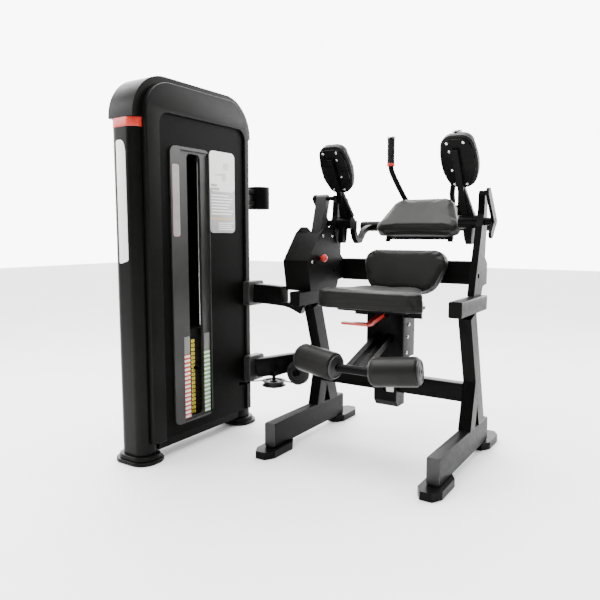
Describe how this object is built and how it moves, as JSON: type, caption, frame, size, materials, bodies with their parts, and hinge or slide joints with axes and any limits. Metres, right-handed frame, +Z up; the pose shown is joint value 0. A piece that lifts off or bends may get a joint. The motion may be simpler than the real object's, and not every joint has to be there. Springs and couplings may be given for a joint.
{
  "type": "ab crunch machine",
  "caption": "Seated abdominal crunch machine: a swinging arm with a back pad and handles lifts a pin-selected weight stack in a side tower by cable.",
  "frame": {"origin": "on the floor, under the middle of the machine's bounding box", "axes": "+Z up; the user sits facing -Y; the weight tower stands on the -X side"},
  "size_m": [1.2374, 1.2212, 1.491],
  "materials": {
    "frame_paint": "satin black powder coat on steel",
    "bright_steel": "polished",
    "red_plastic": "semi-gloss red",
    "shroud_plastic": "fine-grained black",
    "scale_plastic": "light grey strip with coloured ticks",
    "placard_plastic": "white printed panel, blank",
    "rubber": "ribbed black rubber",
    "plate_steel": "black enamel on cast plates",
    "pulley_nylon": "black nylon",
    "collar_plastic": "mid grey",
    "link_paint": "silver grey paint",
    "pad_vinyl": "charcoal vinyl over foam",
    "cable_jacket": "black coated steel cable"
  },
  "bodies": {
    "frame": {"tower_upright_front": "frame_paint", "tower_upright_rear": "frame_paint", "red_band_front": "red_plastic", "red_band_rear": "red_plastic", "tower_arch": "frame_paint", "tower_base": "frame_paint", "inner_shroud": "shroud_plastic", "window_bezel": "shroud_plastic", "scale_strips": "scale_plastic", "instruction_placard": "placard_plastic", "guide_rods": "bright_steel", "stack_bumpers": "rubber", "resting_plates": "plate_steel", "pulley_beam": "frame_paint", "side_frame_left": "frame_paint", "side_frame_right": "frame_paint", "middle_beam": "frame_paint", "upper_upright_left": "frame_paint", "upper_upright_right": "frame_paint", "upper_collar": "collar_plastic", "lower_collar": "collar_plastic", "upper_link_tube": "frame_paint", "lower_link_tube": "frame_paint", "cup_holder": "shroud_plastic", "cam_housing": "frame_paint", "crossbar_mast": "frame_paint", "lumbar_pad": "pad_vinyl", "drive_cable": "cable_jacket"},
    "arm": {"arm_bar_left": "frame_paint", "arm_bar_right": "frame_paint", "arm_pad_left": "pad_vinyl", "arm_pad_right": "pad_vinyl", "side_plate_left": "frame_paint", "side_plate_right": "frame_paint", "pad_yoke": "frame_paint", "pad_carrier": "frame_paint", "upper_pad": "pad_vinyl", "handle_left": "frame_paint", "handle_right": "frame_paint", "grip_left": "rubber", "grip_right": "rubber"},
    "cam": {"drive_cam": "frame_paint"},
    "link": {"drive_link": "link_paint"},
    "stack": {"selected_plates": "plate_steel", "head_plate": "plate_steel", "selector_stem": "bright_steel", "stack_cable": "cable_jacket"},
    "selector_pin": {"selector_pin": "red_plastic"},
    "seat": {"seat_carriage": "frame_paint", "seat_pad": "pad_vinyl", "roller_frame": "frame_paint"},
    "seat_lever": {"seat_lever": "red_plastic"},
    "roller_left": {"roller_left": "pad_vinyl"},
    "roller_right": {"roller_right": "pad_vinyl"},
    "range_knob": {"range_knob": "red_plastic"},
    "top_pulley_front": {"top_pulley_front": "pulley_nylon"},
    "top_pulley_rear": {"top_pulley_rear": "pulley_nylon"},
    "floor_pulley": {"floor_pulley": "pulley_nylon"},
    "post_pulley": {"post_pulley": "pulley_nylon"}
  },
  "joints": [
    {"name": "arm_swing", "type": "hinge", "parent": "frame", "child": "arm", "pos_m": [0.22575, 0.299, 0.943], "axis": [1, 0, 0], "range_deg": [0, 50]},
    {"name": "cam_turn", "type": "hinge", "parent": "frame", "child": "cam", "pos_m": [-0.13275, 0.237, 0.728], "axis": [1, 0, 0], "range_deg": [0, 51]},
    {"name": "link_turn", "type": "hinge", "parent": "arm", "child": "link", "pos_m": [-0.12175, 0.204, 1.05], "axis": [1, 0, 0], "range_deg": [-51, 0]},
    {"name": "stack_lift", "type": "slide", "parent": "frame", "child": "stack", "axis": [0, 0, 1], "range_m": [0, 0.046], "deforming": ["stack_cable"]},
    {"name": "selector_pin_pull", "type": "slide", "parent": "stack", "child": "selector_pin", "axis": [1, 0, 0], "range_m": [0, 0.07]},
    {"name": "seat_height", "type": "slide", "parent": "frame", "child": "seat", "axis": [0, 0, 1], "range_m": [-0.028, 0.09]},
    {"name": "seat_lever_lift", "type": "hinge", "parent": "seat", "child": "seat_lever", "pos_m": [0.22575, 0.106, 0.566], "axis": [-1, 0, 0], "range_deg": [0, 12], "stiffness_Nm_per_rad": 12, "springref_deg": -11.46},
    {"name": "roller_left_spin", "type": "hinge", "parent": "seat", "child": "roller_left", "pos_m": [0.06375, -0.134, 0.391], "axis": [-0.9826, 0.1563, 0.1005], "continuous": true},
    {"name": "roller_right_spin", "type": "hinge", "parent": "seat", "child": "roller_right", "pos_m": [0.38775, -0.134, 0.391], "axis": [0.9826, 0.1563, 0.1005], "continuous": true},
    {"name": "range_knob_pull", "type": "slide", "parent": "frame", "child": "range_knob", "axis": [1, 0, 0], "range_m": [0, 0.009], "stiffness_N_per_m": 1500, "springref_m": -0.004},
    {"name": "top_pulley_front_spin", "type": "hinge", "parent": "frame", "child": "top_pulley_front", "pos_m": [-0.52275, -0.214, 1.37], "axis": [1, 0, 0], "continuous": true},
    {"name": "top_pulley_rear_spin", "type": "hinge", "parent": "frame", "child": "top_pulley_rear", "pos_m": [-0.52275, -0.104, 1.37], "axis": [1, 0, 0], "continuous": true},
    {"name": "floor_pulley_spin", "type": "hinge", "parent": "frame", "child": "floor_pulley", "pos_m": [-0.31275, 0.086, 0.208], "axis": [0, 0, 1], "continuous": true},
    {"name": "post_pulley_spin", "type": "hinge", "parent": "frame", "child": "post_pulley", "pos_m": [-0.21175, 0.136, 0.258], "axis": [0, 1, 0], "continuous": true}
  ],
  "couplings": [
    {"joint": "cam_turn", "follows": "arm_swing", "ratio": 1},
    {"joint": "link_turn", "follows": "arm_swing", "ratio": -1},
    {"joint": "stack_lift", "follows": "arm_swing", "m_per_rad": 0.052},
    {"joint": "top_pulley_front_spin", "follows": "arm_swing", "ratio": -1.04},
    {"joint": "top_pulley_rear_spin", "follows": "arm_swing", "ratio": -1.04},
    {"joint": "floor_pulley_spin", "follows": "arm_swing", "ratio": -1.04},
    {"joint": "post_pulley_spin", "follows": "arm_swing", "ratio": -1.04}
  ]
}
